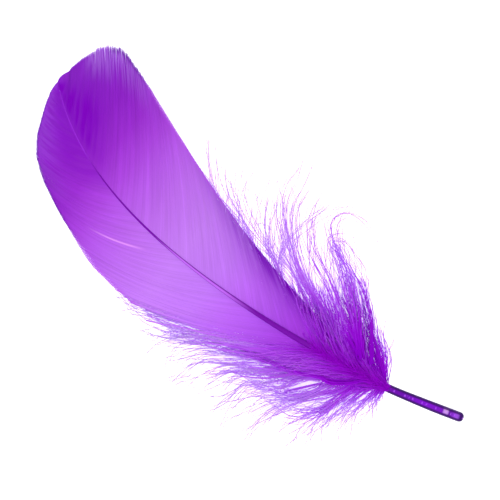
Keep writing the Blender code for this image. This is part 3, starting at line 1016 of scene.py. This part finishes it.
# The plumes: strands spread round each plume's middle line
def growPlumes(side):
    q = np.linspace(0, 1, plume["steps"] + 1)
    grown = []
    for guide, count, widths, deep, *onVane in plumes[side]:
        guide = np.reshape(guide, (-1, 2))
        run = np.concatenate([[0], np.cumsum(np.linalg.norm(np.diff(guide, axis=0), axis=1))])
        reach = chance.uniform(*plume["reach"], count)
        at = q[None, :] * reach[:, None]
        within = np.minimum(at, 1)
        x, y = atStations(np.column_stack([run / run[-1], guide]), within)
        heading = np.arctan2(np.gradient(y, axis=1), np.gradient(x, axis=1))
        heading = np.where(within < 1, heading, heading[:, -3:-2])
        beyond = (at - within) * run[-1]
        widest = plume["widest"]
        aside = np.clip(chance.normal(0, plume["spread"], count), -widest, widest)[:, None]
        aside = aside * np.interp(at, (0, 0.5, 1), widths)
        aside = aside + plume["wave"] * q * waves(count, plume["turns"], q)
        bend = plume["bend"] * (onVane[0] if onVane else 1) * chance.normal(0, 1, count)[:, None]
        aside = aside + bend * smoothStep(*plume["bendBetween"], q)
        x = x + beyond * np.cos(heading) - aside * np.sin(heading)
        y = y + beyond * np.sin(heading) + aside * np.cos(heading)
        nearest = np.argmin(np.linalg.norm(middleLine["points"][:, :2] * 1000 - guide[0], axis=1))
        root = middleLine["points"][nearest, 2] - down["rootDepth"]
        end = chance.uniform(*plume["endHeights"], count)[:, None]
        z = root + (end - root) * at ** down["drop"]
        points = np.stack([x / 1000, y / 1000, z], 2)
        if side == narrowSide:
            partStrands(points)
        if onVane:
            layOver(points, side)
        else:
            tuckUnder(points, side)
        share = np.full(count, middleLine["share"][nearest])
        grown.append((share, run[-1] * reach / 1000, points, np.full(count, deep, float)))
    share, length, points, deep = (np.concatenate(parts) for parts in zip(*grown))
    return asStrands(share, length, points, q, deep)


def buildStrands(name, strands, rootRadius, material, startAlong=0.0):
    q = strands["q"][None, :]
    radius = rootRadius + (down["endRadius"] - rootRadius) * q ** down["taper"]
    radius = np.repeat(radius, len(strands["share"]), axis=0)
    template = unitTemplate(4, len(strands["q"]) - 1)
    places = stripPlaces(template, strands["points"], radius, radius)
    along = startAlong + (1 - startAlong) * (q * (1 - strands["deep"])[:, None])
    marks = barbMarks(template, {"along": along}, {"share": strands["share"], "tone": strands["tone"]})
    joinCopies(name, template, places, marks, material)


barbule = {
    "gap": 0.00027,
    "length": 0.0008,
    "lengths": (0.5, 1.3),
    "shortening": (1.15, 0.5),
    "radius": 0.000016,
    "lean": (10, 36),
    "lift": 0.35,
    "firstAt": 0.04,
    "floor": 0.0001,
    "paler": 0.1,  # how much further along the down's colours it is than its strand
}


def buildBarbules(name, strands, material):
    perStrand = (strands["length"] / barbule["gap"]).astype(int)
    owner = np.repeat(np.arange(len(perStrand)), perStrand)
    q = chance.uniform(barbule["firstAt"], 1.0, len(owner))
    root, low = readPoints(strands["points"], owner, q * (len(strands["q"]) - 1))
    along, across, up = (axis[owner, low] for axis in directions(strands["points"]))
    hand = np.where(np.arange(len(owner)) % 2 == 0, 1.0, -1.0)[:, None]
    lean = np.radians(chance.uniform(*barbule["lean"], len(owner)))[:, None]
    lift = chance.normal(0, barbule["lift"], len(owner))[:, None]
    aim = along * np.cos(lean) + across * hand * np.sin(lean) + up * lift * np.sin(lean)
    aim /= np.linalg.norm(aim, axis=1, keepdims=True)
    length = barbule["length"] * chance.uniform(*barbule["lengths"], len(owner))
    length = length * (barbule["shortening"][0] - barbule["shortening"][1] * q)
    lowest = root[:, 2] + np.minimum(aim[:, 2], 0) * length
    aim[:, 2] = np.where(lowest < barbule["floor"], np.abs(aim[:, 2]), aim[:, 2])
    sideA = np.cross(aim, up)
    sideA /= np.linalg.norm(sideA, axis=1, keepdims=True)
    sideB = np.cross(aim, sideA)
    template = unitTemplate(3, endRadius=0)
    verts = template["verts"]
    places = root[:, None, :] + aim[:, None, :] * (verts[None, :, 2:] * length[:, None, None])
    places += sideA[:, None, :] * verts[None, :, :1] * barbule["radius"]
    places += sideB[:, None, :] * verts[None, :, 1:2] * barbule["radius"]
    marks = {
        "along": np.minimum((q + barbule["paler"]) * (1 - strands["deep"][owner]), 1),
        "share": strands["share"][owner],
        "tone": strands["tone"][owner],
    }
    marks = {label: np.repeat(values, len(verts)) for label, values in marks.items()}
    joinCopies(name, template, places, marks, material)


def dress(name, barbulesName, strands, radius, material):
    buildStrands(name, strands, radius, material)
    buildBarbules(barbulesName, strands, material)


# The floor, the light and the camera
stage = {
    "floorSize": 3.0,
    "floorColour": (0.93, 0.93, 0.94, 1.0),
    "floorGlow": 0.55,  # a light table
    "skyStrength": 0.95,
    "keyPlace": (0.05, 0.25, 1.0),
    "keySize": 1.1,
    "keyPower": 5.0,
    "target": (0.0024, -0.0084, 0.003),
    "turn": -140.1,  # puts the shaft at the photograph's angle
    "lens": 135,
    "sensor": 36,
    "viewWidth": 0.141,
}


def buildStage():
    bm = bmesh.new()
    bmesh.ops.create_grid(bm, x_segments=1, y_segments=1, size=stage["floorSize"] / 2)
    mesh = bpy.data.meshes.new("floor")
    bm.to_mesh(mesh)
    bm.free()
    floor = addObject("floor", mesh)
    shader = Shader("palePaper")
    colour = stage["floorColour"]
    glow = {"Emission Color": colour, "Emission Strength": stage["floorGlow"]}
    mesh.materials.append(shader.finish(shader.body(colour, 0.9, 0.1, glow)))


def buildLight():
    world = bpy.data.worlds.new("softSky")
    bpy.context.scene.world = world
    world.use_nodes = True
    sky = world.node_tree.nodes["Background"]
    sky.inputs["Color"].default_value = (1, 1, 1, 1)
    sky.inputs["Strength"].default_value = stage["skyStrength"]
    light = bpy.data.lights.new("keyLight", "AREA")
    light.shape = "DISK"
    light.size = stage["keySize"]
    light.energy = stage["keyPower"]
    lamp = addObject("keyLight", light)
    lamp.location = stage["keyPlace"]
    lamp.rotation_euler = (-Vector(stage["keyPlace"])).to_track_quat("-Z", "Y").to_euler()
    bpy.context.scene.view_settings.view_transform = "Standard"


def buildCamera():
    data = bpy.data.cameras.new("camera")
    data.lens = stage["lens"]
    data.sensor_width = stage["sensor"]
    camera = addObject("camera", data)
    distance = stage["viewWidth"] * stage["lens"] / stage["sensor"]
    camera.location = Vector(stage["target"]) + Vector((0, 0, distance))
    camera.rotation_euler = (0, 0, math.radians(stage["turn"]))
    bpy.context.scene.camera = camera


buildStage()
buildLight()
buildCamera()
print("stage ready")

buildShaft()
vaneDyeAndLight = vaneMaterial()
buildVane("narrowVane", narrowSide, narrowVane, vaneDyeAndLight)
buildVane("wideVane", wideSide, wideVane, vaneDyeAndLight)
print("vanes ready")

downDye = strandMaterial("dyedDown", downLook)
tuftDye = strandMaterial("dyedTufts", tuftLook)
for label, side, settings, angles in (
    ("narrow", narrowSide, narrowDown, tuft["narrowAngles"]),
    ("wide", wideSide, wideDown, tuft["wideAngles"]),
):
    dress(label + "Down", label + "Barbules", growStrands(side, settings), down["rootRadius"], downDye)
    dress(label + "Plumes", label + "PlumeBarbules", growPlumes(side), down["rootRadius"], downDye)
    dress(label + "Tufts", label + "TuftBarbules", growTufts(side, angles), tuft["radius"], tuftDye)
buildStrands("edgeWisps", growWisps(), wisps["radius"], downDye, wisps["startAlong"])
print("down ready")
